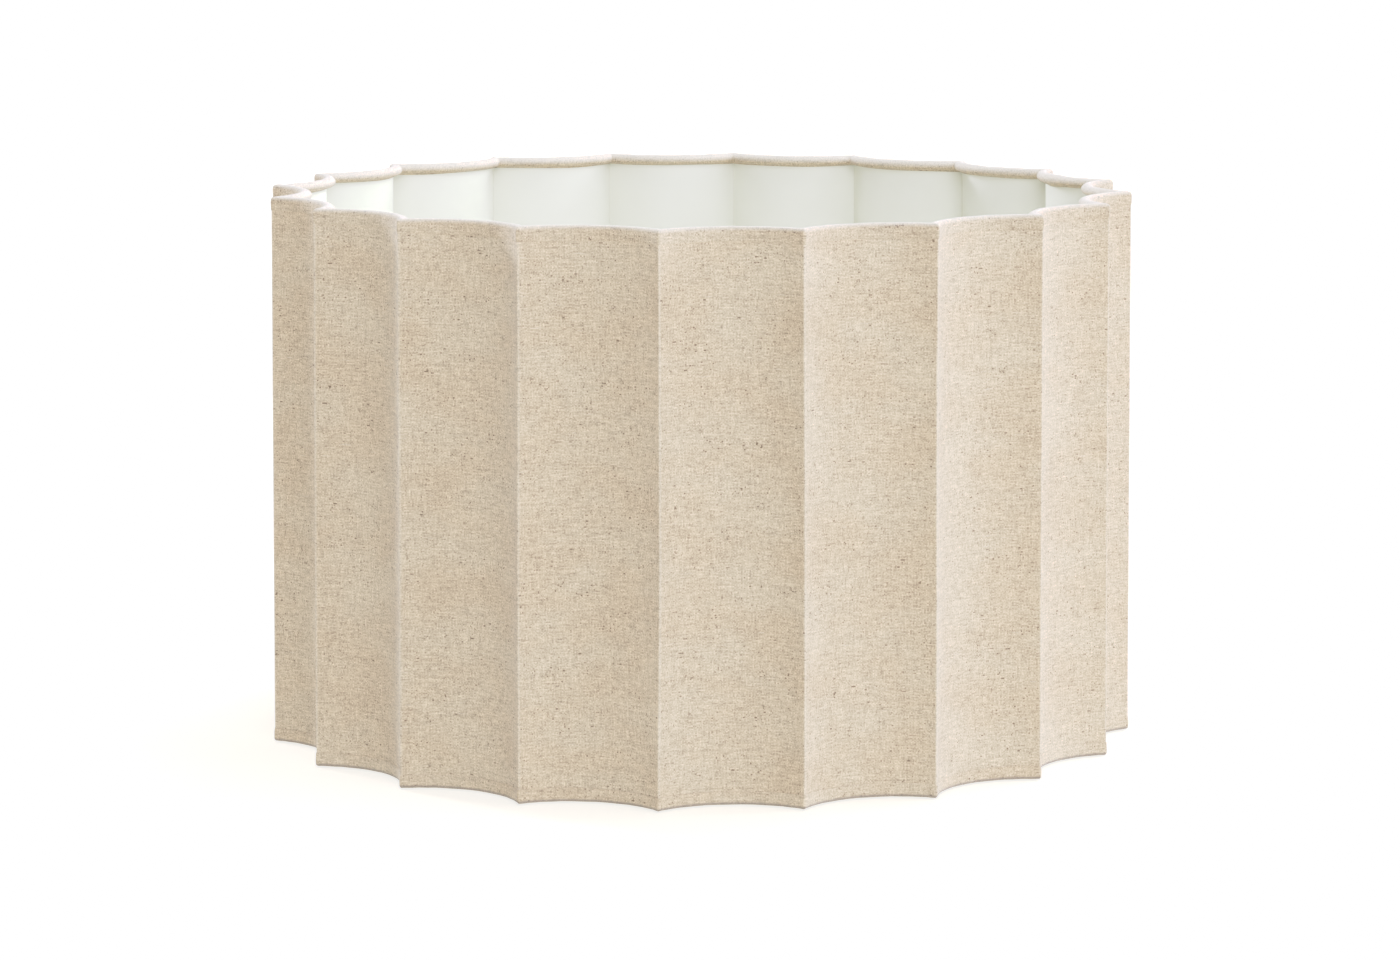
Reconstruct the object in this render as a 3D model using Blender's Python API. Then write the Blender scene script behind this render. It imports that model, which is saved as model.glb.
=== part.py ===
"""Fluted drum lamp shade.

A hard-backed shade: a linen cover laminated to a white backing sheet, creased
into twenty sharp vertical ridges with a hollow flute between each pair.  A bent
wire ring holds the flutes in shape at the top and at the bottom, a strip of the
same linen is folded over each ring, and four wire arms on the bottom ring carry
a stamped fitter ring with a loose plastic reducer in it.

Metres, +Z up.  The origin is on the shade's axis, on the plane that the bottom
edge stands on.  The middle of a flute faces -Y, and another faces +X.
"""

import math

import bmesh
import bpy
from mathutils import Matrix, Vector

# ---- driving dimensions ---------------------------------------------------
FLUTES = 20
RIDGE_RADIUS = 0.2003  # to the sharp line of a ridge, before it is rounded
HEIGHT = 0.254  # over both folded edges
FLUTE_DEPTH = 0.0122  # how far a flute's middle lies behind the line from ridge to ridge

GAP = 0.0003
LINEN = 0.0007  # cover
BACKING = 0.0004  # white sheet behind the cover
RIDGE_ROUND = 0.0009  # how far in from the cover's face a ridge is rounded from

WIRE = 0.0016  # radius of the ring wire and of the arms
WIRE_BEND = 0.0050  # the ring wire is bent round a line this far behind the cover's face

STRIP = 0.0005  # linen strip folded over a ring
STRIP_OUTSIDE = 0.0070  # how far it reaches over the cover
STRIP_INSIDE = 0.0060  # how far it reaches below the edge on the inside
SHEET_SETBACK = 0.0019  # the sheets stop this far inside the folded edge
NOTCH_HALF_WIDTH = 0.0026  # cut in the bottom strip where an arm meets the ring

ARMS = 4
FITTER_TOP = 0.0450  # height of the fitter ring's upper face
FITTER_THICK = 0.0012
FITTER_HOLE = 0.02125  # radius, for the large lampholder
FITTER_OUTER = 0.0290
FITTER_COLLAR = 0.0032  # depth of the turned-down collar round the hole

REDUCER_BORE = 0.0146  # radius, for the small lampholder
REDUCER_FLANGE = 0.0252
REDUCER_FLANGE_THICK = 0.0016
REDUCER_SPIGOT = 0.0209  # radius of the wall that drops into the fitter's hole
REDUCER_SPIGOT_DEPTH = 0.0056
REDUCER_WALL = 0.0015
REDUCER_LIP_DEPTH = 0.0034

# ---- mesh fineness --------------------------------------------------------
ARC_STEPS = 4  # along one flute
ROUND_STEPS = 2  # round one ridge
WIRE_SIDES = 6
TURN_STEPS = 36

# ---- the fluted outline ---------------------------------------------------
HALF = math.pi / FLUTES
HALF_CHORD = RIDGE_RADIUS * math.sin(HALF)
FLUTE_RADIUS = (HALF_CHORD**2 + FLUTE_DEPTH**2) / (2 * FLUTE_DEPTH)
FLUTE_MIDDLE = RIDGE_RADIUS * math.cos(HALF) - FLUTE_DEPTH
FLUTE_CENTRE = FLUTE_MIDDLE + FLUTE_RADIUS  # each flute is an arc about a line out here
LEAST_ROUND = 0.0001


def towards(azimuth):
    """Unit vector at this azimuth, counted from -Y towards +X."""
    return Vector((math.sin(azimuth), -math.cos(azimuth)))


def ridge_line(reach):
    """Distance from the axis to where two neighbouring arcs of this radius cross."""
    side = FLUTE_CENTRE * math.sin(HALF)
    return FLUTE_CENTRE * math.cos(HALF) - math.sqrt(reach**2 - side**2)


def outline(depth, round_from):
    """One turn of the outline, this far behind the cover's face.

    The flutes are arcs and the ridges between them are rounded about a line that
    lies round_from behind the face, so outlines at several depths stay parallel
    and have the same number of points.
    """
    arc = FLUTE_RADIUS + depth
    bend = max(LEAST_ROUND, round_from - depth)
    ridge = ridge_line(arc + bend)
    points = []
    for flute in range(FLUTES):
        azimuth = 2 * HALF * flute
        centre = FLUTE_CENTRE * towards(azimuth)
        after = ridge * towards(azimuth + HALF)
        reach = (after - centre).angle(-centre)
        for step in range(ARC_STEPS + 1):
            turn = reach * (2 * step / ARC_STEPS - 1)
            points.append(centre - arc * towards(azimuth - turn))
        lean = (centre - after).angle(after)
        for step in range(1, ROUND_STEPS):
            turn = lean * (2 * step / ROUND_STEPS - 1)
            points.append(after + bend * towards(azimuth + HALF + turn))
    return points


# ---- building blocks ------------------------------------------------------
def finish(name, bm, material, location=(0.0, 0.0, 0.0), parent=None, smooth=40.0):
    bmesh.ops.recalc_face_normals(bm, faces=bm.faces)
    mesh = bpy.data.meshes.new(name)
    bm.to_mesh(mesh)
    bm.free()
    mesh.shade_smooth()
    mesh.set_sharp_from_angle(angle=math.radians(smooth))
    mesh.materials.append(material)
    obj = bpy.data.objects.new(name, mesh)
    bpy.context.collection.objects.link(obj)
    obj.location = location
    if parent is not None:
        obj.parent = parent
    return obj


def swept(section, round_from):
    """A closed section of (depth, height) pairs carried once round the outline."""
    bm = bmesh.new()
    rows = []
    for depth, height in section:
        ring = outline(depth, round_from)
        rows.append([bm.verts.new((p.x, p.y, height)) for p in ring])
    stations = len(rows[0])
    for i, row in enumerate(rows):
        after = rows[(i + 1) % len(rows)]
        for j in range(stations):
            k = (j + 1) % stations
            bm.faces.new((row[j], row[k], after[k], after[j]))
    return bm


def turned(section):
    """A closed section of (radius, height) pairs spun once round the axis."""
    bm = bmesh.new()
    verts = [bm.verts.new((r, 0.0, z)) for r, z in section]
    edges = [bm.edges.new((verts[i], verts[(i + 1) % len(verts)])) for i in range(len(verts))]
    bmesh.ops.spin(
        bm,
        geom=verts + edges,
        cent=(0.0, 0.0, 0.0),
        axis=(0.0, 0.0, 1.0),
        angle=2 * math.pi,
        steps=TURN_STEPS,
        use_merge=True,
    )
    bmesh.ops.remove_doubles(bm, verts=bm.verts, dist=1e-6)
    return bm


def thickened(middle, thickness):
    """The closed section of a strip of this thickness whose middle line is given."""
    line = [Vector(p) for p in middle]
    one_side, other_side = [], []
    for i, point in enumerate(line):
        before = (point - line[i - 1]).normalized() if i else None
        after = (line[i + 1] - point).normalized() if i + 1 < len(line) else None
        across = [Vector((-d.y, d.x)) for d in (before, after) if d is not None]
        normal = sum(across, Vector((0.0, 0.0))).normalized()
        stretch = 1 / normal.dot(across[0])
        step = normal * (thickness / 2 * stretch)
        one_side.append(point + step)
        other_side.append(point - step)
    return [(p.x, p.y) for p in one_side + other_side[::-1]]


def principled(name, colour, roughness, metallic=0.0):
    material = bpy.data.materials.new(name)
    material.use_nodes = True
    shader = material.node_tree.nodes["Principled BSDF"]
    shader.inputs["Base Color"].default_value = (*colour, 1.0)
    shader.inputs["Roughness"].default_value = roughness
    shader.inputs["Metallic"].default_value = metallic
    material.diffuse_color = (*colour, 1.0)
    return material


# ---- the pieces -----------------------------------------------------------
def sheet(name, face, thickness, material, parent):
    """A fluted sheet whose outer face lies this far behind the cover's face."""
    low, high = SHEET_SETBACK, HEIGHT - SHEET_SETBACK
    section = [
        (face, low),
        (face, high),
        (face + thickness, high),
        (face + thickness, low),
    ]
    return finish(name, swept(section, RIDGE_ROUND), material, parent=parent)


def wire_depth():
    """The ring wire's middle, behind the cover's face."""
    return LINEN + GAP + BACKING + GAP + WIRE


def wire_setback():
    """The ring wire's middle, inside the folded edge."""
    return STRIP + GAP + WIRE


def wire_ring(name, height, material, parent):
    section = []
    for side in range(WIRE_SIDES):
        turn = 2 * math.pi * (side + 0.5) / WIRE_SIDES
        section.append((wire_depth() + WIRE * math.cos(turn), height + WIRE * math.sin(turn)))
    return finish(name, swept(section, WIRE_BEND), material, parent=parent)


def folded_strip(name, edge, inwards, material, parent):
    """Linen folded over a ring: edge is the rim's height, inwards is +1 or -1."""
    outside = -(GAP + STRIP / 2)
    lip = wire_depth() + WIRE + GAP + STRIP / 2 + 0.00005
    middle = [
        (outside, STRIP_OUTSIDE),
        (outside, 0.0016),
        (0.0006, STRIP / 2),
        (lip - 0.0011, STRIP / 2),
        (lip, 0.0015),
        (lip, 0.0037),
        (LINEN + GAP + BACKING + 0.00045, STRIP_INSIDE),
    ]
    section = [(d, edge + inwards * z) for d, z in thickened(middle, STRIP)]
    return finish(name, swept(section, STRIP / 2), material, parent=parent, smooth=50.0)


def notch_cutters(parent):
    """Boxes that open the bottom strip round the end of each arm."""
    bm = bmesh.new()
    outer = FLUTE_MIDDLE - wire_depth()
    inner = outer - 0.0050
    low, high = STRIP + 0.00008, STRIP_INSIDE + 0.0015
    for arm in range(ARMS):
        made = bmesh.ops.create_cube(bm, size=1.0)["verts"]
        bmesh.ops.scale(bm, verts=made, vec=(2 * NOTCH_HALF_WIDTH, outer - inner, high - low))
        bmesh.ops.translate(bm, verts=made, vec=(0.0, -(outer + inner) / 2, (low + high) / 2))
        bmesh.ops.rotate(
            bm,
            verts=made,
            cent=(0.0, 0.0, 0.0),
            matrix=Matrix.Rotation(2 * math.pi * arm / ARMS, 3, "Z"),
        )
    mesh = bpy.data.meshes.new("arm_notch_cutters")
    bm.to_mesh(mesh)
    bm.free()
    obj = bpy.data.objects.new("arm_notch_cutters", mesh)
    bpy.context.collection.objects.link(obj)
    obj.parent = parent
    obj.hide_render = True
    obj.display_type = "WIRE"
    return obj


def arm(name, azimuth, material, parent):
    """A bent wire from under the fitter ring down to the bottom ring."""
    under = FITTER_TOP - FITTER_THICK - GAP - WIRE
    foot = wire_setback()
    end = FLUTE_MIDDLE - wire_depth() - WIRE - GAP
    start = FITTER_HOLE + FITTER_THICK + 0.0006
    route = [
        (start, under),
        (FITTER_OUTER - 0.0008, under),
        (FITTER_OUTER + 0.0030, under - 0.0008),
        (end - 0.0135, foot + 0.0022),
        (end - 0.0100, foot + 0.0007),
        (end - 0.0068, foot),
        (end, foot),
    ]
    data = bpy.data.curves.new(name, "CURVE")
    data.dimensions = "3D"
    data.bevel_depth = WIRE
    data.bevel_resolution = 2
    data.use_fill_caps = True
    spline = data.splines.new("POLY")
    spline.points.add(len(route) - 1)
    for point, (radius, height) in zip(spline.points, route):
        point.co = (0.0, -radius, height, 1.0)
    data.materials.append(material)
    obj = bpy.data.objects.new(name, data)
    bpy.context.collection.objects.link(obj)
    obj.rotation_euler = (0.0, 0.0, azimuth)
    obj.parent = parent
    return obj


def fitter_ring(material, parent):
    low = FITTER_TOP - FITTER_THICK
    section = [
        (FITTER_HOLE, FITTER_TOP),
        (FITTER_HOLE, FITTER_TOP - FITTER_COLLAR),
        (FITTER_HOLE + FITTER_THICK, FITTER_TOP - FITTER_COLLAR),
        (FITTER_HOLE + FITTER_THICK, low),
        (FITTER_OUTER, low),
        (FITTER_OUTER, FITTER_TOP),
    ]
    return finish("fitter_ring", turned(section), material, parent=parent)


def reducer_ring(material, parent):
    """Its heights are counted from the fitter ring's upper face."""
    low = GAP
    high = GAP + REDUCER_FLANGE_THICK
    section = [
        (REDUCER_BORE, high),
        (REDUCER_BORE, high - REDUCER_LIP_DEPTH),
        (REDUCER_BORE + REDUCER_WALL, high - REDUCER_LIP_DEPTH),
        (REDUCER_BORE + REDUCER_WALL, low),
        (REDUCER_SPIGOT - REDUCER_WALL, low),
        (REDUCER_SPIGOT - REDUCER_WALL, low - REDUCER_SPIGOT_DEPTH),
        (REDUCER_SPIGOT, low - REDUCER_SPIGOT_DEPTH),
        (REDUCER_SPIGOT, low),
        (REDUCER_FLANGE, low),
        (REDUCER_FLANGE, high - 0.0005),
        (REDUCER_FLANGE - 0.0005, high),
    ]
    return finish("reducer_ring", turned(section), material, parent=parent)


def empty(name, location):
    obj = bpy.data.objects.new(name, None)
    obj.location = location
    bpy.context.collection.objects.link(obj)
    return obj


def main():
    for obj in list(bpy.data.objects):
        bpy.data.objects.remove(obj)

    linen = principled("linen", (0.62, 0.52, 0.38), 0.92)
    binding = principled("linen_strip", (0.60, 0.50, 0.36), 0.92)
    backing = principled("white_backing", (0.83, 0.81, 0.73), 0.55)
    enamel = principled("white_enamel", (0.86, 0.86, 0.84), 0.35, 0.1)
    plastic = principled("white_plastic", (0.88, 0.87, 0.84), 0.45)

    shade = empty("shade_axis", (0.0, 0.0, 0.0))
    lift = empty("reducer_lift_axis", (0.0, 0.0, FITTER_TOP))

    sheet("linen_cover", 0.0, LINEN, linen, shade)
    sheet("backing_sheet", LINEN + GAP, BACKING, backing, shade)
    wire_ring("top_wire_ring", HEIGHT - wire_setback(), enamel, shade)
    wire_ring("bottom_wire_ring", wire_setback(), enamel, shade)
    folded_strip("top_folded_edge", HEIGHT, -1.0, binding, shade)
    bottom = folded_strip("bottom_folded_edge", 0.0, 1.0, binding, shade)
    cut = bottom.modifiers.new("arm_notches", "BOOLEAN")
    cut.operation = "DIFFERENCE"
    cut.solver = "EXACT"
    cut.object = notch_cutters(shade)
    for i in range(ARMS):
        arm(f"fitter_arm_{i + 1}", 2 * math.pi * i / ARMS, enamel, shade)
    fitter_ring(enamel, shade)
    reducer_ring(plastic, lift)


main()
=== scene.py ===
"""Looks of the fluted drum lamp shade: linen cover, folded linen edges, white backing, wire rings, fitter and reducer."""

import math

import bmesh
import bpy
import numpy as np
from mathutils import Matrix, Vector


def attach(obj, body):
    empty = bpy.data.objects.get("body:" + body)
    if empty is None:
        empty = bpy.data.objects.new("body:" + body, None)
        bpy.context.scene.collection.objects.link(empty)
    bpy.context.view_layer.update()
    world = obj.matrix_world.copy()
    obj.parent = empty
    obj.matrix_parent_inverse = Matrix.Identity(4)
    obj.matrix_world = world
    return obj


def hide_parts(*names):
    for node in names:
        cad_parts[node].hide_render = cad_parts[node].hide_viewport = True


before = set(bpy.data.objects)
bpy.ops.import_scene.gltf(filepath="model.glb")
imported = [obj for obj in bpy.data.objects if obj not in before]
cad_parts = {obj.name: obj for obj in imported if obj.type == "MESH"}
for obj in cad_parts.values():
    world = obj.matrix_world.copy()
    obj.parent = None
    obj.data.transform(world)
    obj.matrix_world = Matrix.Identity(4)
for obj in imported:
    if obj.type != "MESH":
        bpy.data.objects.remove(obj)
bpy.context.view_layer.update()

# ---- the sizes of the CAD part, in metres ----------------------------------
FLUTES = 20
RIDGE_RADIUS = 0.2012
HEIGHT = 0.254
FLUTE_DEPTH = 0.0131
RIDGE_ROUND = 0.0006
HALF = math.pi / FLUTES
HALF_CHORD = RIDGE_RADIUS * math.sin(HALF)
FLUTE_RADIUS = (HALF_CHORD**2 + FLUTE_DEPTH**2) / (2 * FLUTE_DEPTH)
FLUTE_MIDDLE = RIDGE_RADIUS * math.cos(HALF) - FLUTE_DEPTH
FLUTE_CENTRE = FLUTE_MIDDLE + FLUTE_RADIUS
WIRE = 0.0016
WIRE_DEPTH = 0.0033  # the ring wire's middle, behind the cover's face
WIRE_SETBACK = 0.0024  # and inside the folded edge
FITTER_TOP = 0.0450
FITTER_THICK = 0.0012
FITTER_HOLE = 0.02125
FITTER_OUTER = 0.0290
ARMS = 4

# ---- the cloth and the sheets ----------------------------------------------
LINEN_T = 0.0006
BACK_FACE = 0.00063
BACK_T = 0.0004
STRIP_T = 0.00036
STRIP_V = 0.61  # where the strips lie on the cloth
WARP_PITCH, WEFT_PITCH = 0.00071, 0.00063
FLARE = 0.0015  # the bottom ring is this much wider in radius than the top one
LAP = 0.010  # the laminated sheet overlaps itself by this much
LAP_RISE = 0.0011
SEAM_FLUTE = 5  # the sheet's outer end stops on the ridge after this flute
SETBACK = 0.0019
LOW, TOP = SETBACK, HEIGHT - SETBACK


# ---- the fluted outline -----------------------------------------------------
def towards(azimuth):
    return np.stack([np.sin(azimuth), -np.cos(azimuth)], -1)


def ridge_line(reach):
    side = FLUTE_CENTRE * math.sin(HALF)
    return FLUTE_CENTRE * math.cos(HALF) - np.sqrt(reach**2 - side**2)


def walk(first, flutes, arc_steps, round_steps, start=0.0, end_arc=True):
    """Stations along the outline: rows of (flute, 0 on the arc or 1 on the ridge after it, fraction)."""
    out = []
    for n in range(flutes):
        flute = first + n
        for j in range(arc_steps + 1):
            f = 0.5 - 0.5 * math.cos(math.pi * j / arc_steps)
            f = 0.65 * f + 0.35 * j / arc_steps
            if n == 0 and f < start - 1e-9:
                continue
            if n == 0 and start > 0 and not out:
                out.append((flute, 0, start))
                if f - start < 1e-4:
                    continue
            out.append((flute, 0, f))
        if n == flutes - 1 and end_arc:
            break
        for j in range(1, round_steps):
            out.append((flute, 1, j / round_steps))
    return np.array(out, float)


def lay(st, depth, round_from=RIDGE_ROUND):
    """Points and outward normals at these stations, this far behind the cover's face. depth is N by M."""
    depth = np.asarray(depth, float)
    flute, kind, f = st[:, 0:1], st[:, 1:2], st[:, 2:3]
    arc = FLUTE_RADIUS + depth
    bend = np.maximum(0.0001, round_from - depth)
    rho = ridge_line(arc + bend)
    reach = np.arctan2(rho * math.sin(HALF), FLUTE_CENTRE - rho * math.cos(HALF))
    azimuth = 2 * HALF * flute
    on_arc = azimuth - reach * (2 * f - 1)
    on_ridge = azimuth + HALF + (HALF + reach) * (2 * f - 1)
    facing = np.where(kind < 0.5, on_arc, on_ridge)
    normal = towards(facing)
    flat = FLUTE_CENTRE * towards(azimuth + 0 * facing) - arc[..., None] * normal
    crest = rho[..., None] * towards(azimuth + HALF + 0 * facing) + bend[..., None] * normal
    return np.where((kind < 0.5)[..., None], flat, crest), normal


def along(st):
    """Distance along the cover's face from the seam's ridge, in metres."""
    p, _ = lay(st, np.zeros((len(st), 1)))
    step = np.linalg.norm(np.diff(p[:, 0], axis=0), axis=1)
    run = np.concatenate([[0.0], np.cumsum(step)])
    return run


def flute_length():
    st = walk(0, 2, 64, 8)
    run = along(st)
    first = np.argmax((st[:, 0] == 1) & (st[:, 1] == 0))
    return run[first]


FLUTE_RUN = flute_length()


def drift(st, z, p):
    """The small unevenness of a hand-made shade, the same for every layer. p is N by M by 2, z is N by M."""
    flute, kind, f = st[:, 0:1], st[:, 1:2], st[:, 2:3]
    across = np.where(kind < 0.5, np.sin(np.pi * f) ** 2, 0.0)
    n = np.mod(flute, FLUTES)
    lift = z / HEIGHT
    body = np.sin(np.pi * np.clip(lift, 0, 1))
    own = np.sin(n * 2.4 + 0.7) * 0.00035 + np.sin(n * 5.3 + 2.1) * 0.00025
    belly = np.sin(n * 3.7 + 1.9) * 0.0004 * body
    tilt = np.sin(n * 1.3 + 0.2) * 0.0003 * (lift - 0.5)
    azimuth = 2 * HALF * (flute + np.where(kind < 0.5, f - 0.5, 0.5))
    round_ = 0.00025 * np.sin(2 * azimuth + 0.6) + 0.00012 * np.sin(5 * azimuth + 2.0)
    out = across * (own + belly + tilt) + round_ + FLARE * (1 - lift)
    turn = (
        0.00030 * np.sin(3 * azimuth + 1.1 + 1.7 * lift) * (0.35 + body)
        + 0.00016 * np.sin(7 * azimuth + 4.0 * lift)
        + 0.00010 * np.sin(11 * azimuth + 9.0 * lift) * body
    ) / RIDGE_RADIUS
    r = np.linalg.norm(p, axis=-1, keepdims=True)
    q = p * (1 + out[..., None] / r)
    c, s = np.cos(turn), np.sin(turn)
    return np.stack([q[..., 0] * c - q[..., 1] * s, q[..., 0] * s + q[..., 1] * c], -1)


# ---- mesh building ----------------------------------------------------------
def mesh_object(name, verts, faces, uv=None, smooth_angle=40.0):
    mesh = bpy.data.meshes.new(name)
    mesh.from_pydata([tuple(v) for v in verts], [], [tuple(int(i) for i in f) for f in faces])
    mesh.validate()
    if uv is not None:
        layer = mesh.uv_layers.new(name="cloth")
        index = np.empty(len(mesh.loops), np.int32)
        mesh.loops.foreach_get("vertex_index", index)
        layer.data.foreach_set("uv", np.asarray(uv, np.float32)[index].ravel())
    bm = bmesh.new()
    bm.from_mesh(mesh)
    bmesh.ops.recalc_face_normals(bm, faces=bm.faces)
    bm.to_mesh(mesh)
    bm.free()
    mesh.shade_smooth()
    mesh.set_sharp_from_angle(angle=math.radians(smooth_angle))
    obj = bpy.data.objects.new(name, mesh)
    bpy.context.scene.collection.objects.link(obj)
    return obj


def slab(name, face_a, face_b, uv_a, uv_b, smooth_angle=40.0):
    """A thin closed sheet from two N by M by 3 grids, open at both ends of each direction."""
    n, m = face_a.shape[:2]
    verts = np.concatenate([face_a.reshape(-1, 3), face_b.reshape(-1, 3)])
    uv = np.concatenate([uv_a.reshape(-1, 2), uv_b.reshape(-1, 2)])
    i = np.arange(n * m).reshape(n, m)
    a = np.stack([i[:-1, :-1], i[1:, :-1], i[1:, 1:], i[:-1, 1:]], -1).reshape(-1, 4)
    b = a[:, ::-1] + n * m
    rim = np.concatenate([i[:, 0], i[-1, 1:], i[::-1, -1][1:], i[0, ::-1][1:-1]])
    nxt = np.roll(rim, -1)
    side = np.stack([rim, rim + n * m, nxt + n * m, nxt], -1)
    return mesh_object(name, verts, np.concatenate([a, b, side]), uv, smooth_angle)


def loop_tube(name, rings, smooth_angle=60.0):
    """A closed tube from an N by M by 3 grid that wraps round both ways."""
    n, m = rings.shape[:2]
    i = np.arange(n * m).reshape(n, m)
    a = np.stack(
        [i, np.roll(i, -1, 0), np.roll(np.roll(i, -1, 0), -1, 1), np.roll(i, -1, 1)], -1
    ).reshape(-1, 4)
    return mesh_object(name, rings.reshape(-1, 3), a, None, smooth_angle)


def revolved(name, profile, steps=96, smooth_angle=35.0):
    """A closed profile of (radius, height) pairs turned round Z."""
    profile = np.array(profile, float)
    turn = np.arange(steps) * 2 * math.pi / steps
    rings = np.stack(
        [
            profile[None, :, 0] * np.cos(turn)[:, None],
            profile[None, :, 0] * np.sin(turn)[:, None],
            np.broadcast_to(profile[None, :, 1], (steps, len(profile))),
        ],
        -1,
    )
    return loop_tube(name, rings, smooth_angle)


def rounded(points, radius, steps=3):
    """The closed outline with each corner rounded by up to this radius."""
    points = [Vector(p) for p in points]
    out = []
    for i, p in enumerate(points):
        before, after = points[i - 1] - p, points[(i + 1) % len(points)] - p
        r = min(radius, 0.45 * before.length, 0.45 * after.length)
        a, b = p + before.normalized() * r, p + after.normalized() * r
        for j in range(steps + 1):
            t = j / steps
            q = a * (1 - t) ** 2 + p * (2 * t * (1 - t)) + b * t**2
            out.append((q.x, q.y))
    return out


def spline(points, count):
    """A smooth line through these points, evenly spaced."""
    p = np.array(points, float)
    ext = np.vstack([2 * p[0] - p[1], p, 2 * p[-1] - p[-2]])
    out = []
    for i in range(1, len(ext) - 2):
        a, b, c, d = ext[i - 1], ext[i], ext[i + 1], ext[i + 2]
        for t in np.linspace(0, 1, 24, endpoint=False):
            out.append(
                0.5
                * (2 * b + (c - a) * t + (2 * a - 5 * b + 4 * c - d) * t**2 + (3 * b - a - 3 * c + d) * t**3)
            )
    out.append(p[-1])
    out = np.array(out)
    run = np.concatenate([[0], np.cumsum(np.linalg.norm(np.diff(out, axis=0), axis=1))])
    want = np.linspace(0, run[-1], count)
    return np.stack([np.interp(want, run, out[:, k]) for k in range(out.shape[1])], -1), run[-1]


# ---- sheets -----------------------------------------------------------------
def lap_start():
    """The fraction along the seam's flute where the sheet's inner end lies."""
    arc = 1 - LAP / (FLUTE_RUN - 2 * RIDGE_ROUND * 0.9)
    return arc


def wrapped_stations(arc_steps, round_steps):
    """From the inner end, over the seam's ridge, once round, to the outer end on that ridge."""
    head = walk(SEAM_FLUTE, 1, arc_steps, round_steps, start=lap_start(), end_arc=False)
    body = walk(SEAM_FLUTE + 1, FLUTES, arc_steps, round_steps, end_arc=True)
    return np.concatenate([head, body])


def seam_origin(st):
    """Index of the middle of the first ridge in the stations."""
    at = np.where((st[:, 0] == SEAM_FLUTE) & (st[:, 1] == 1))[0]
    return at[len(at) // 2]


def wrapped_run(st):
    run = along(st)
    return run - run[seam_origin(st)]


def smooth(t):
    t = np.clip(t, 0, 1)
    return t * t * (3 - 2 * t)


def sheet_piece(name, face, thickness, low, high, arc_steps, round_steps, rows):
    st = wrapped_stations(arc_steps, round_steps)
    run = wrapped_run(st)
    whole = FLUTES * FLUTE_RUN
    rise = LAP_RISE * smooth((run - (whole - LAP - 0.009)) / 0.008)
    z = np.concatenate([[0.0], 0.5 - 0.5 * np.cos(np.pi * np.linspace(0.06, 0.94, rows - 2)), [1.0]])
    z = low + (high - low) * z
    zz = np.broadcast_to(z[None, :], (len(st), len(z)))
    grids = []
    for depth in (face, face + thickness):
        p, normal = lay(st, np.full((len(st), 1), depth))
        p = p + normal * rise[:, None, None]
        p = drift(st, zz, np.broadcast_to(p, (len(st), len(z), 2)))
        grids.append(np.concatenate([p, zz[..., None]], -1))
    uv = np.stack([np.broadcast_to(run[:, None], zz.shape), zz], -1)
    obj = slab(name, grids[0], grids[1], uv, uv)
    return obj, (run[-1] - run[0], high - low)


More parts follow.
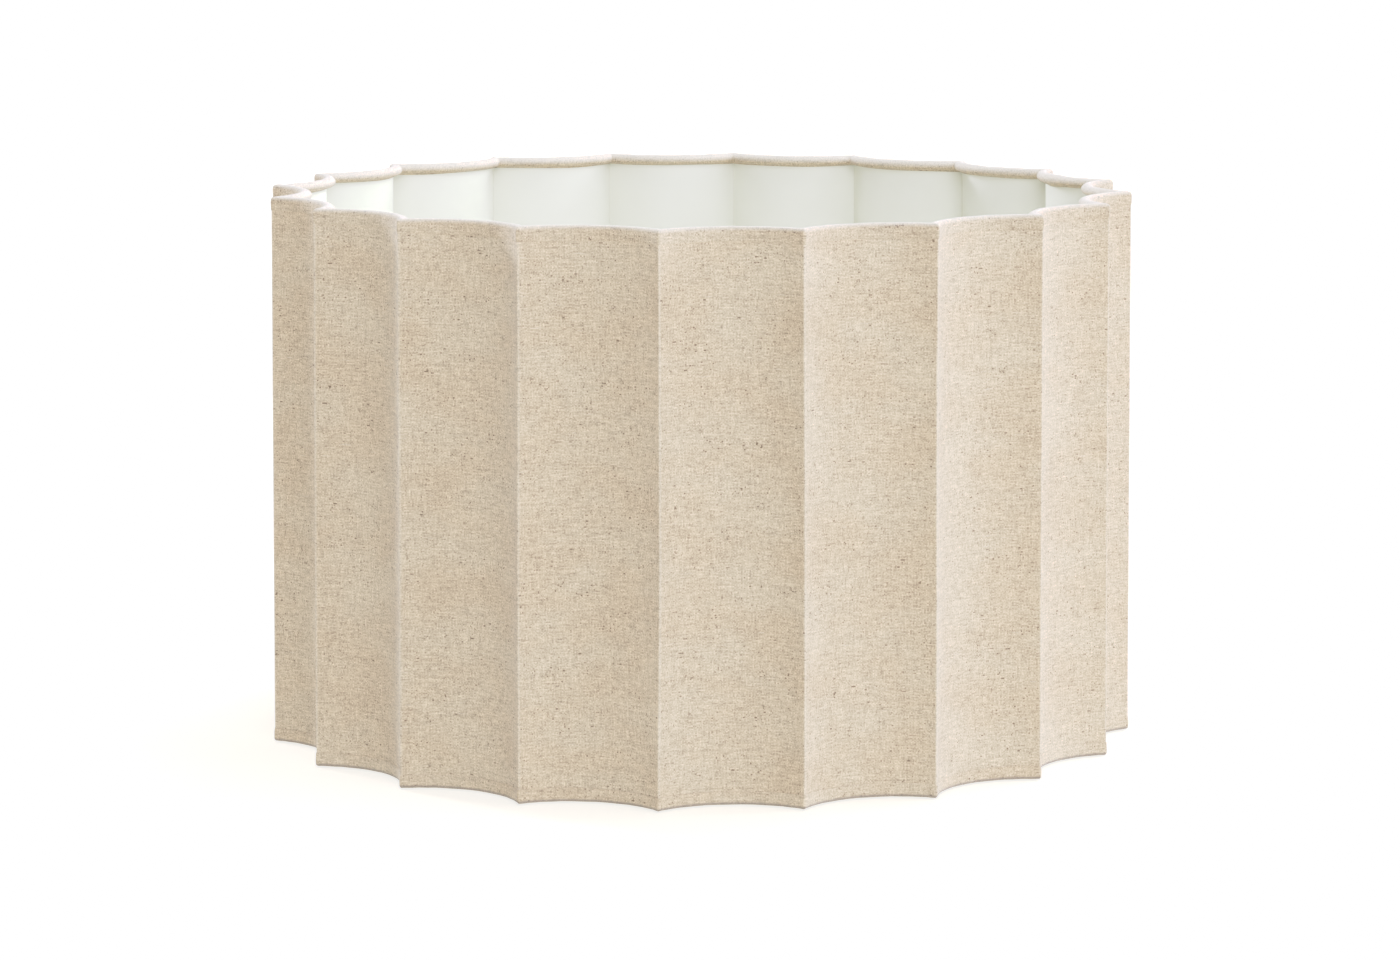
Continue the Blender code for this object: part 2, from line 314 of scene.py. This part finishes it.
def strip_piece(name, top, start_flute, arc_steps, round_steps, section_steps):
    """Linen folded over a ring. top is True for the upper edge."""
    line = [
        (-0.00010, 0.00700), (-0.00014, 0.00560), (-0.00020, 0.00340), (-0.00018, 0.00190), (0.00005, 0.00098),
        (0.00070, 0.00042), (0.00170, 0.00022), (0.00270, 0.00026), (0.00375, 0.00050), (0.00460, 0.00110),
        (0.00508, 0.00190), (0.00513, 0.00268), (0.00475, 0.00355), (0.00400, 0.00410), (0.00310, 0.00430),
        (0.00225, 0.00452), (0.00168, 0.00500), (0.00140, 0.00560),
    ]
    if not top:
        # it passes a little higher under the bottom ring, so that its lap still clears the table
        line = [(d, h + 0.00032 * math.exp(-((h / 0.0011) ** 2))) for d, h in line]
    middle, width = spline(line, 200)
    tangent = np.gradient(middle, axis=0)
    tangent /= np.linalg.norm(tangent, axis=1, keepdims=True)
    out_side = np.stack([-tangent[:, 1], tangent[:, 0]], -1)
    if out_side[0, 0] > 0:
        out_side = -out_side
    st = np.concatenate(
        [
            walk(start_flute, FLUTES, arc_steps, round_steps, start=0.42, end_arc=False),
            walk(start_flute + FLUTES, 1, arc_steps, round_steps, end_arc=True),
        ]
    )
    st = st[~((st[:, 0] >= start_flute + FLUTES) & (st[:, 2] > 0.62))]
    run = along(st)
    whole = FLUTES * FLUTE_RUN
    lap = run[-1] - whole
    over = 0.00038 * smooth((run - (run[-1] - lap - 0.004)) / 0.005)
    n = len(st)
    grid_t = np.linspace(0, 1, section_steps)
    edge = 0.012 * np.sin(run * 41) + 0.007 * np.sin(run * 103 + 1)
    inner = 0.016 * np.sin(run * 53 + 2) + 0.010 * np.sin(run * 131 + 0.4)
    t0 = np.clip(0.02 + edge, 0, 0.1)
    t1 = np.clip(0.97 + inner, 0.9, 1.0)
    if not top:
        # the strip is snipped to let each arm through to the ring
        for arm in range(ARMS):
            flute = arm * FLUTES // ARMS
            here = np.isclose(np.mod(st[:, 0], FLUTES), flute) & (st[:, 1] < 0.5)
            off = np.abs(st[:, 2] - 0.5) * FLUTE_RUN
            open_ = np.where(here, 1 - smooth((off - 0.0021) / 0.0011), 0)
            t1 = t1 * (1 - open_) + 0.56 * open_
    # the outer half keeps its shape where the inner half is snipped
    part = (section_steps // 2) / (section_steps - 1)
    outer_t = t0[:, None] + (0.5 - t0)[:, None] * (grid_t / part)[None, :]
    inner_t = 0.5 + (t1 - 0.5)[:, None] * ((grid_t - part) / (1 - part))[None, :]
    t = np.where(grid_t[None, :] <= part + 1e-9, outer_t, inner_t)
    index = np.linspace(0, 1, 200)
    d = np.interp(t, index, middle[:, 0])
    h = np.interp(t, index, middle[:, 1])
    nd = np.interp(t, index, out_side[:, 0])
    nh = np.interp(t, index, out_side[:, 1])
    # the cover's own lap lies under the strip's outer half
    ridge_at = (SEAM_FLUTE - start_flute) % FLUTES
    seam = st[:, 0] - start_flute
    seam_run = run - (ridge_at + 1 - 0.42) * FLUTE_RUN
    under = LAP_RISE * smooth((seam_run + LAP + 0.009) / 0.008) * (1 - smooth((seam_run - 0.0002) / 0.0012))
    outer_half = 1 - smooth((t - 0.30) / 0.12)
    # slight puckers where the strip turns over the wire
    pucker = 0.00007 * np.sin(run * 890 + 2 * np.sin(run * 37))[:, None] * np.exp(-(((t - 0.5) / 0.22) ** 2))
    ease = over[:, None] + under[:, None] * outer_half + pucker
    grids = []
    thin = 0.35 + 0.65 * smooth((t - t0[:, None]) * float(width) / 0.0016)
    for side in (0.5, -0.5):
        push = side * STRIP_T * thin + ease
        dd, hh = d + nd * push, h + nh * push
        p, _ = lay(st, dd, RIDGE_ROUND)
        z = HEIGHT - hh if top else hh
        p = drift(st, z, p)
        grids.append(np.concatenate([p, z[..., None]], -1))
    v = t * width
    uv = np.stack([np.broadcast_to(run[:, None] + (0.37 if top else 2.11), v.shape), v + STRIP_V], -1)
    obj = slab(name, grids[0], grids[1], uv, uv, 50.0)
    return obj, (run[-1], float(width) * 0.95)


def ring_wire(name, z, arc_steps, round_steps, sides=12):
    st = walk(0, FLUTES, arc_steps, round_steps, end_arc=False)
    # the last station of a flute's ridge meets the first of the next
    turn = np.arange(sides) * 2 * math.pi / sides
    depth = WIRE_DEPTH + WIRE * np.cos(turn)[None, :] + np.zeros((len(st), 1))
    height = z + WIRE * np.sin(turn)[None, :] + np.zeros((len(st), 1))
    p, _ = lay(st, depth, 0.0050)
    p = drift(st, height, p)
    return loop_tube(name, np.concatenate([p, height[..., None]], -1))


cover, cover_flat = sheet_piece("linen_cover_sheet", 0.0, LINEN_T, LOW, TOP, 22, 6, 40)
backing, backing_flat = sheet_piece("backing_laminate", BACK_FACE, BACK_T, LOW, TOP, 16, 4, 24)
top_strip, top_flat = strip_piece("top_edge_strip", True, 6, 18, 4, 30)
bottom_strip, bottom_flat = strip_piece("bottom_edge_strip", False, 6, 18, 4, 30)
top_wire = ring_wire("top_ring_wire", HEIGHT - WIRE_SETBACK, 14, 4)
bottom_wire = ring_wire("bottom_ring_wire", WIRE_SETBACK, 14, 4)


# ---- fitter -----------------------------------------------------------------
def arm_piece(name, azimuth):
    """A bent wire: pressed flat where it is welded under the fitter ring, and butted onto the bottom ring."""
    under = FITTER_TOP - FITTER_THICK
    foot = WIRE_SETBACK
    # the arm ends on the ring wire, where the ring really runs
    flute = round(azimuth / (2 * HALF)) % FLUTES
    here = np.array([[flute, 0, 0.5]])
    ring = drift(here, np.array([[foot]]), lay(here, np.array([[WIRE_DEPTH]]), 0.0050)[0])
    end = float(np.linalg.norm(ring)) - WIRE * 0.72
    route = [
        (0.02320, under - 0.00125), (0.02560, under - 0.00125), (0.02810, under - 0.00130), (0.03060, under - 0.00185),
        (0.03500, under - 0.00330), (0.08000, under - 0.01630), (0.12500, under - 0.02930), (0.16500, foot + 0.00300),
        (0.17050, foot + 0.00135), (0.17500, foot + 0.00020), (0.17850, foot), (end, foot),
    ]
    line, length = spline(route, 90)
    run = np.linspace(0, length, 90)
    tangent = np.gradient(line, axis=0)
    tangent /= np.linalg.norm(tangent, axis=1, keepdims=True)
    up = np.stack([-tangent[:, 1], tangent[:, 0]], -1)
    up[up[:, 1] < 0] *= -1
    press = 1 - smooth((run - 0.0055) / 0.0035)
    tall = WIRE * (1 - 0.30 * press)
    wide = WIRE * (1 + 0.38 * press)
    taper = 1 - 0.35 * (1 - smooth(run / 0.0012))
    weld = np.exp(-(((length - run) / 0.0011) ** 2)) * 0.00045
    tall, wide = tall * taper + weld, wide * taper + weld
    sides = 16
    turn = np.arange(sides) * 2 * math.pi / sides
    rings = []
    for i in range(len(line)):
        ring = []
        for a in turn:
            r = line[i, 0] + up[i, 0] * tall[i] * math.sin(a)
            z = line[i, 1] + up[i, 1] * tall[i] * math.sin(a)
            ring.append((wide[i] * math.cos(a), -r, z))
        rings.append(ring)
    rings = np.array(rings)
    c, s = math.cos(azimuth), math.sin(azimuth)
    x, y = rings[..., 0] * c - rings[..., 1] * s, rings[..., 0] * s + rings[..., 1] * c
    rings = np.stack([x, y, rings[..., 2]], -1)
    n, m = rings.shape[:2]
    i = np.arange(n * m).reshape(n, m)
    j = np.roll(i, -1, 1)
    faces = np.stack([i[:-1], i[1:], j[1:], j[:-1]], -1).reshape(-1, 4).tolist()
    faces += [list(i[0][::-1]), list(i[-1])]
    return mesh_object(name, rings.reshape(-1, 3), faces, None, 50.0)


arms = [arm_piece(f"arm_wire_{i + 1}", 2 * math.pi * i / ARMS) for i in range(ARMS)]

low = FITTER_TOP - FITTER_THICK
fitter = revolved(
    "fitter_pressing",
    rounded(
        [
            (FITTER_HOLE, FITTER_TOP), (FITTER_HOLE, FITTER_TOP - 0.0032), (FITTER_HOLE + 0.0012, FITTER_TOP - 0.0032),
            (FITTER_HOLE + 0.0012, low), (0.0246, low), (0.0251, low + 0.00025), (0.0256, low), (FITTER_OUTER - 0.0003, low),
            (FITTER_OUTER, low + 0.0003), (FITTER_OUTER, FITTER_TOP), (0.0275, FITTER_TOP), (0.0271, FITTER_TOP - 0.0002), (0.0267, FITTER_TOP),
        ],
        0.0004,
    ),
    96,
)


def reducer_piece():
    base = FITTER_TOP + 0.0003
    high = base + 0.0016
    body = revolved(
        "reducer_insert",
        rounded(
            [
                (0.0146, high), (0.0146, high - 0.0034), (0.0161, high - 0.0034), (0.0161, base), (0.0194, base),
                (0.0195, base - 0.0056), (0.0208, base - 0.0056), (0.0209, base), (0.0252, base), (0.0252, high - 0.0004),
                (0.0248, high), (0.0222, high), (0.0219, high - 0.00018), (0.0216, high),
            ],
            0.0003,
        ),
        96,
    )
    bm = bmesh.new()
    bm.from_mesh(body.data)
    for k in range(12):
        made = bmesh.ops.create_cube(bm, size=1.0)["verts"]
        bmesh.ops.scale(bm, verts=made, vec=(0.0040, 0.0009, 0.0020))
        for v in made:
            if v.co.z < 0:
                v.co.y *= 0.7
        bmesh.ops.translate(bm, verts=made, vec=(0.01785, 0, base - 0.0006))
        bmesh.ops.rotate(bm, verts=made, cent=(0, 0, 0), matrix=Matrix.Rotation(math.radians(30 * k + 15), 3, "Z"))
    bm.to_mesh(body.data)
    bm.free()
    body.data.shade_smooth()
    body.data.set_sharp_from_angle(angle=math.radians(35))
    return body


reducer = reducer_piece()


# ---- materials --------------------------------------------------------------
class Nodes:
    """Small helper for writing node trees."""

    def __init__(self, name):
        self.material = bpy.data.materials.new(name)
        self.material.use_nodes = True
        self.tree = self.material.node_tree
        self.shader = self.tree.nodes["Principled BSDF"]

    def node(self, kind, **values):
        n = self.tree.nodes.new(kind)
        for key, value in values.items():
            setattr(n, key, value)
        return n

    def link(self, a, b):
        self.tree.links.new(a, b)

    def math(self, operation, a, b=None, clamp=False):
        n = self.node("ShaderNodeMath", operation=operation, use_clamp=clamp)
        for i, v in enumerate((a, b)):
            if v is None:
                continue
            if isinstance(v, (int, float)):
                n.inputs[i].default_value = v
            else:
                self.link(v, n.inputs[i])
        return n.outputs[0]

    def ramp(self, value, low, high, to_low=0.0, to_high=1.0):
        n = self.node("ShaderNodeMapRange", interpolation_type="SMOOTHSTEP")
        self.link(value, n.inputs["Value"])
        for key, v in (("From Min", low), ("From Max", high), ("To Min", to_low), ("To Max", to_high)):
            n.inputs[key].default_value = v
        return n.outputs["Result"]

    def stretched(self, source, scale, offset=(0.0, 0.0, 0.0)):
        n = self.node("ShaderNodeMapping")
        n.inputs["Scale"].default_value = scale
        n.inputs["Location"].default_value = offset
        self.link(source, n.inputs["Vector"])
        return n.outputs["Vector"]

    def pair(self, x, y):
        n = self.node("ShaderNodeCombineXYZ")
        self.link(x, n.inputs[0])
        self.link(y, n.inputs[1])
        return n.outputs[0]

    def noise(self, vector, detail=2.0, roughness=0.5, distortion=0.0):
        n = self.node("ShaderNodeTexNoise", noise_dimensions="3D")
        n.inputs["Scale"].default_value = 1.0
        n.inputs["Detail"].default_value = detail
        n.inputs["Roughness"].default_value = roughness
        n.inputs["Distortion"].default_value = distortion
        self.link(vector, n.inputs["Vector"])
        return n.outputs["Fac"]

    def mix(self, fac, a, b, mode="MIX"):
        n = self.node("ShaderNodeMix", data_type="RGBA", blend_type=mode)
        for socket, v in ((n.inputs["Factor"], fac), (n.inputs["A"], a), (n.inputs["B"], b)):
            pass
        sockets = [s for s in n.inputs if s.enabled]
        for s, v in zip(sockets, (fac, a, b)):
            if isinstance(v, (int, float)):
                s.default_value = v
            elif isinstance(v, tuple):
                s.default_value = (*v, 1.0)
            else:
                self.link(v, s)
        return [s for s in n.outputs if s.enabled][0]


def linen(name, tone=(0.548, 0.445, 0.310), shade=1.0, seed=0.0, ridge_highlight=0.0, fold=None):
    m = Nodes(name)
    uv = m.node("ShaderNodeUVMap", uv_map="cloth").outputs["UV"]
    parts = m.node("ShaderNodeSeparateXYZ")
    m.link(uv, parts.inputs[0])
    u, v = parts.outputs[0], parts.outputs[1]
    # threads wander a little
    wander = m.noise(m.stretched(uv, (70, 70, 1), (seed, 0, 3)), 2)
    wander = m.math("MULTIPLY", m.math("SUBTRACT", wander, 0.5), 0.0009)
    uu, vv = m.math("ADD", u, wander), m.math("ADD", v, wander)
    # a plain weave: in each cell either the warp or the weft lies on top
    warp_at, weft_at = m.math("DIVIDE", uu, WARP_PITCH), m.math("DIVIDE", vv, WEFT_PITCH)
    warp_no, weft_no = m.math("FLOOR", warp_at), m.math("FLOOR", weft_at)
    over = m.math("FLOORED_MODULO", m.math("ADD", warp_no, weft_no), 2.0)
    warp_h = m.math("SINE", m.math("MULTIPLY", m.math("FRACT", warp_at), math.pi))
    weft_h = m.math("SINE", m.math("MULTIPLY", m.math("FRACT", weft_at), math.pi))
    # each thread has its own shade, which changes slowly along it
    warp_n = m.noise(m.stretched(m.pair(m.math("MULTIPLY", warp_no, 3.71), m.math("MULTIPLY", vv, 170)), (1, 1, 1), (0, seed, 9)), 3, 0.62)
    weft_n = m.noise(m.stretched(m.pair(m.math("MULTIPLY", uu, 230), m.math("MULTIPLY", weft_no, 3.71)), (1, 1, 1), (seed, 0, 5)), 3, 0.62)
    seen = m.math("ADD", m.math("MULTIPLY", warp_n, over), m.math("MULTIPLY", weft_n, m.math("SUBTRACT", 1.0, over)))
    streak = m.noise(m.stretched(uv, (48, 820, 1), (seed, 0, 41)), 2, 0.6)
    drop = m.noise(m.stretched(uv, (900, 40, 1), (seed, 0, 47)), 2, 0.6)
    grain = m.noise(m.stretched(uv, (1300, 1300, 1), (seed, 1, 13)), 2, 0.7)
    cloud = m.noise(m.stretched(uv, (26, 40, 1), (seed, 2, 17)), 3, 0.55)
    total = m.math("MULTIPLY", m.math("SUBTRACT", seen, 0.5), 1.36)
    for part, amount in ((weft_n, 0.30), (streak, 0.34), (drop, 0.20), (grain, 1.12), (cloud, 0.24)):
        total = m.math("ADD", total, m.math("MULTIPLY", m.math("SUBTRACT", part, 0.5), amount))
    dome = m.math("MULTIPLY", warp_h, weft_h)
    # painted shade: the colour is darker at the edges of each thread cell, where the threads dip
    total = m.math("ADD", total, m.math("MULTIPLY", m.math("SUBTRACT", dome, 0.42), 0.16))
    level = m.math("ADD", total, 1.0)
    # dark flecks of bark, mostly lying in the weft
    fleck = m.noise(m.stretched(m.pair(m.math("MULTIPLY", uu, 400), m.math("MULTIPLY", weft_no, 2.93)), (1, 1, 1), (seed, 3, 21)), 2, 0.6)
    fleck = m.ramp(fleck, 0.640, 0.690)
    dot = m.noise(m.stretched(uv, (800, 950, 1), (seed, 4, 25)), 1, 0.5)
    dot = m.ramp(dot, 0.690, 0.730)
    dash = m.noise(m.stretched(uv, (1100, 300, 1), (seed, 5, 29)), 1, 0.5)
    dash = m.math("MULTIPLY", m.ramp(dash, 0.70, 0.75), 0.6)
    dark = m.math("MAXIMUM", m.math("MAXIMUM", fleck, dot), dash)
    # the bark comes in patches, some rows of it richer than others
    rich = m.ramp(m.noise(m.stretched(uv, (45, 90, 1), (seed, 7, 51)), 2, 0.5), 0.35, 0.62, 0.35, 1.0)
    dark = m.math("MULTIPLY", dark, m.math("MULTIPLY", rich, 0.85))
    # slubs, thicker and paler
    slub = m.ramp(m.noise(m.stretched(uv, (120, 900, 1), (seed, 6, 33)), 2, 0.5), 0.66, 0.76)
    base = tuple(c * shade for c in tone)
    tint = m.mix(m.ramp(cloud, 0.35, 0.65), tuple(c * k for c, k in zip(base, (1.012, 0.992, 0.975))), tuple(c * k for c, k in zip(base, (0.99, 1.006, 1.02))))
    scaled = m.node("ShaderNodeVectorMath", operation="SCALE")
    m.link(tint, scaled.inputs[0])
    m.link(level, scaled.inputs["Scale"])
    colour = m.mix(dark, scaled.outputs[0], (0.150, 0.105, 0.070))
    colour = m.mix(m.math("MULTIPLY", slub, 0.25), colour, (0.74, 0.66, 0.53))
    if ridge_highlight:
        # painted highlight: the cloth is painted paler along each ridge
        turns = m.math("DIVIDE", u, FLUTE_RUN)
        near = m.math("PINGPONG", turns, 0.5)
        painted_light = m.ramp(near, 0.0, 0.0013 / FLUTE_RUN, ridge_highlight, 0.0)
        painted_light = m.math("MULTIPLY", painted_light, m.ramp(grain, 0.3, 0.6, 0.4, 1.0))
        colour = m.mix(painted_light, colour, (0.80, 0.73, 0.60))
    if fold:
        # and along the turned edge: a painted highlight on the top edge's crest, and a painted shadow line along the
        # bottom edge's crest
        amount, at, core, reach, painted_tone = fold
        away = m.math("ABSOLUTE", m.math("SUBTRACT", v, STRIP_V + at))
        painted_light = m.math("MULTIPLY", m.ramp(away, core, reach, amount, 0.0), m.ramp(grain, 0.3, 0.6, 0.6, 1.0))
        colour = m.mix(painted_light, colour, painted_tone)
    m.link(colour, m.shader.inputs["Base Color"])
    rough = m.ramp(grain, 0.2, 0.8, 0.84, 0.96)
    m.link(rough, m.shader.inputs["Roughness"])
    m.shader.inputs["Specular IOR Level"].default_value = 0.20
    m.shader.inputs["Sheen Weight"].default_value = 0.26
    m.shader.inputs["Sheen Roughness"].default_value = 0.45
    m.shader.inputs["Sheen Tint"].default_value = (0.95, 0.98, 1.0, 1.0)
    # relief: plain weave, uneven threads, slubs
    height = m.math("ADD", m.math("MULTIPLY", dome, 0.55), m.math("MULTIPLY", m.math("ADD", weft_n, warp_n), 0.40))
    height = m.math("ADD", height, m.math("MULTIPLY", slub, 0.5))
    bump = m.node("ShaderNodeBump")
    bump.inputs["Strength"].default_value = 0.55
    bump.inputs["Distance"].default_value = 0.00022
    m.link(height, bump.inputs["Height"])
    m.link(bump.outputs["Normal"], m.shader.inputs["Normal"])
    return m.material


def backing_material():
    m = Nodes("white_backing_film")
    uv = m.node("ShaderNodeUVMap", uv_map="cloth").outputs["UV"]
    parts = m.node("ShaderNodeSeparateXYZ")
    m.link(uv, parts.inputs[0])
    mottle = m.noise(m.stretched(uv, (30, 30, 1)), 4, 0.55)
    fine = m.noise(m.stretched(uv, (420, 520, 1)), 3, 0.6)
    colour = m.mix(m.ramp(mottle, 0.3, 0.7), (0.800, 0.802, 0.690), (0.820, 0.822, 0.715))
    # painted shade: the backing is painted darker next to each crease
    near = m.math("PINGPONG", m.math("DIVIDE", parts.outputs[0], FLUTE_RUN), 0.5)
    colour = m.mix(m.ramp(near, 0.0, 0.0016 / FLUTE_RUN, 0.35, 0.0), colour, (0.74, 0.71, 0.60))
    m.link(colour, m.shader.inputs["Base Color"])
    m.link(m.ramp(fine, 0.3, 0.7, 0.48, 0.62), m.shader.inputs["Roughness"])
    m.shader.inputs["Specular IOR Level"].default_value = 0.35
    bump = m.node("ShaderNodeBump")
    bump.inputs["Strength"].default_value = 0.25
    bump.inputs["Distance"].default_value = 0.00008
    m.link(m.math("ADD", fine, m.math("MULTIPLY", mottle, 2.0)), bump.inputs["Height"])
    m.link(bump.outputs["Normal"], m.shader.inputs["Normal"])
    return m.material


def hard_material(name, tone, rough, coarse, depth, spec=0.5, coat=0.0):
    m = Nodes(name)
    where = m.node("ShaderNodeTexCoord").outputs["Object"]
    mottle = m.noise(m.stretched(where, (60, 60, 60)), 4, 0.55)
    fine = m.noise(m.stretched(where, (coarse, coarse, coarse)), 3, 0.6)
    dark = tuple(c * 0.95 for c in tone)
    m.link(m.mix(m.ramp(mottle, 0.3, 0.7), dark, tone), m.shader.inputs["Base Color"])
    m.link(m.ramp(fine, 0.3, 0.7, rough - 0.06, rough + 0.08), m.shader.inputs["Roughness"])
    m.shader.inputs["Specular IOR Level"].default_value = spec
    m.shader.inputs["Coat Weight"].default_value = coat
    bump = m.node("ShaderNodeBump")
    bump.inputs["Strength"].default_value = 0.3
    bump.inputs["Distance"].default_value = depth
    m.link(fine, bump.inputs["Height"])
    m.link(bump.outputs["Normal"], m.shader.inputs["Normal"])
    return m.material


cover_cloth = linen("linen_cloth", seed=0.0, ridge_highlight=0.22)
# its fold colour is a painted highlight along the crest of the top edge
strip_cloth = linen("linen_strip_cloth", shade=0.965, seed=7.3, fold=(0.72, 0.0094, 0.0016, 0.0046, (0.84, 0.79, 0.69)))
# its fold colour is a painted shadow line along the crest of the bottom edge
hem_cloth = linen("linen_hem_cloth", shade=1.0, seed=11.9, fold=(0.78, 0.0064, 0.0007, 0.0018, (0.20, 0.18, 0.16)))
film = backing_material()
enamel = hard_material("white_enamel_coat", (0.80, 0.80, 0.78), 0.34, 900, 0.00002, coat=0.25)
plastic = hard_material("white_moulded_plastic", (0.82, 0.81, 0.77), 0.42, 1600, 0.00003)

for piece, body, nodes, slot, material in (
    (cover, "shade", ["linen_cover"], "linen", cover_cloth),
    (backing, "shade", ["backing_sheet"], "white_backing", film),
    (top_strip, "shade", ["top_folded_edge"], "linen_strip", strip_cloth),
    (bottom_strip, "shade", ["bottom_folded_edge"], "linen_strip", hem_cloth),
    (top_wire, "shade", ["top_wire_ring"], "white_enamel", enamel),
    (bottom_wire, "shade", ["bottom_wire_ring"], "white_enamel", enamel),
    *[(a, "shade", [f"fitter_arm_{i + 1}"], "white_enamel", enamel) for i, a in enumerate(arms)],
    (fitter, "shade", ["fitter_ring"], "white_enamel", enamel),
    (reducer, "reducer", ["reducer_ring"], "white_plastic", plastic),
):
    piece.data.materials.clear()
    piece.data.materials.append(material)
    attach(piece, body)
    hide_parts(*nodes)

# ---- stage, light and camera -------------------------------------------------
floor_mesh = bpy.data.meshes.new("floor")
floor_mesh.from_pydata([(-30, -30, 0), (30, -30, 0), (30, 30, 0), (-30, 30, 0)], [], [(0, 1, 2, 3)])
floor = bpy.data.objects.new("floor", floor_mesh)
bpy.context.scene.collection.objects.link(floor)
m = Nodes("pale_floor")
m.shader.inputs["Base Color"].default_value = (0.30, 0.296, 0.285, 1)
m.shader.inputs["Roughness"].default_value = 0.9
m.shader.inputs["Specular IOR Level"].default_value = 0.1
m.shader.inputs["Emission Color"].default_value = (1, 0.98, 0.92, 1)
m.shader.inputs["Emission Strength"].default_value = 0.93
floor.data.materials.append(m.material)

VIEW_AZIMUTH = -4.02  # the camera's azimuth round the shade, from -Y towards +X


def soft_light(name, azimuth, elevation, spread, power, colour=(1.0, 1.0, 1.0)):
    """A distant soft light. The azimuth is counted from the camera's side, and spread is the light's width in degrees."""
    data = bpy.data.lights.new(name, "SUN")
    data.angle = math.radians(spread)
    data.energy = math.pi * power
    data.color = colour
    obj = bpy.data.objects.new(name, data)
    a, e = math.radians(azimuth + VIEW_AZIMUTH), math.radians(elevation)
    back = Vector((math.sin(a) * math.cos(e), -math.cos(a) * math.cos(e), math.sin(e)))
    obj.location = back * 3
    obj.rotation_mode = "QUATERNION"
    obj.rotation_quaternion = (-back).to_track_quat("-Z", "Y")
    bpy.context.scene.collection.objects.link(obj)
    return obj


COOL = (0.97, 1.0, 1.22)
for light in (
    ("overhead", 0, 88, 60, 0.58),
    ("front", 5, 18, 50, 0.48, COOL),
    ("front_right", 70, 18, 50, 0.48, COOL),
    ("back_right", 120, 18, 50, 0.65, COOL),
    ("far_right", 150, 18, 50, 0.44, COOL),
    ("back_left", -132, 18, 12, 0.72, COOL),
    ("window_right", 102, 27, 10, 0.15, COOL),
    ("window_left", -88, 24, 10, 0.06, COOL),
):
    soft_light(*light)

world = bpy.data.worlds.new("soft_white")
world.use_nodes = True
world.node_tree.nodes["Background"].inputs["Color"].default_value = (1, 1, 1, 1)
world.node_tree.nodes["Background"].inputs["Strength"].default_value = 0.13
bpy.context.scene.world = world

camera_data = bpy.data.cameras.new("camera")
camera_data.sensor_width = 36
camera_data.lens = 129.37
camera_data.clip_end = 200
camera = bpy.data.objects.new("camera", camera_data)
bpy.context.scene.collection.objects.link(camera)
a = math.radians(VIEW_AZIMUTH)
reach, rise, pitch, yaw = 11.7041 * 0.2, 2.3223 * 0.2, 0.1477, 0.000205
camera.location = (math.sin(a) * reach, -math.cos(a) * reach, rise)
camera.rotation_euler = (math.pi / 2 - pitch, 0, a - yaw)
bpy.context.scene.camera = camera
view = bpy.context.scene.view_settings
view.view_transform = "Standard"
view.look = "None"
# a gentle shoulder, as in a studio print: pale tones keep their shape, and the paper goes white
view.use_curve_mapping = True
tone = view.curve_mapping
tone.extend = "HORIZONTAL"
tone.white_level = (1.25, 1.25, 1.25)
shoulder = (
    (0.0, 0.0), (0.10, 0.107), (0.27, 0.286), (0.39, 0.405), (0.50, 0.507), (0.60, 0.590), (0.70, 0.660),
    (0.80, 0.720), (0.90, 0.773), (1.00, 0.822), (1.10, 0.872), (1.18, 0.930), (1.25, 1.0),
)
line = tone.curves[3]
line.points[0].location = (0.0, 0.0)
line.points[1].location = (1.0, 1.0)
for x, y in shoulder[1:-1]:
    line.points.new(x / 1.25, y)
for point in line.points:
    point.handle_type = "AUTO_CLAMPED"
tone.update()
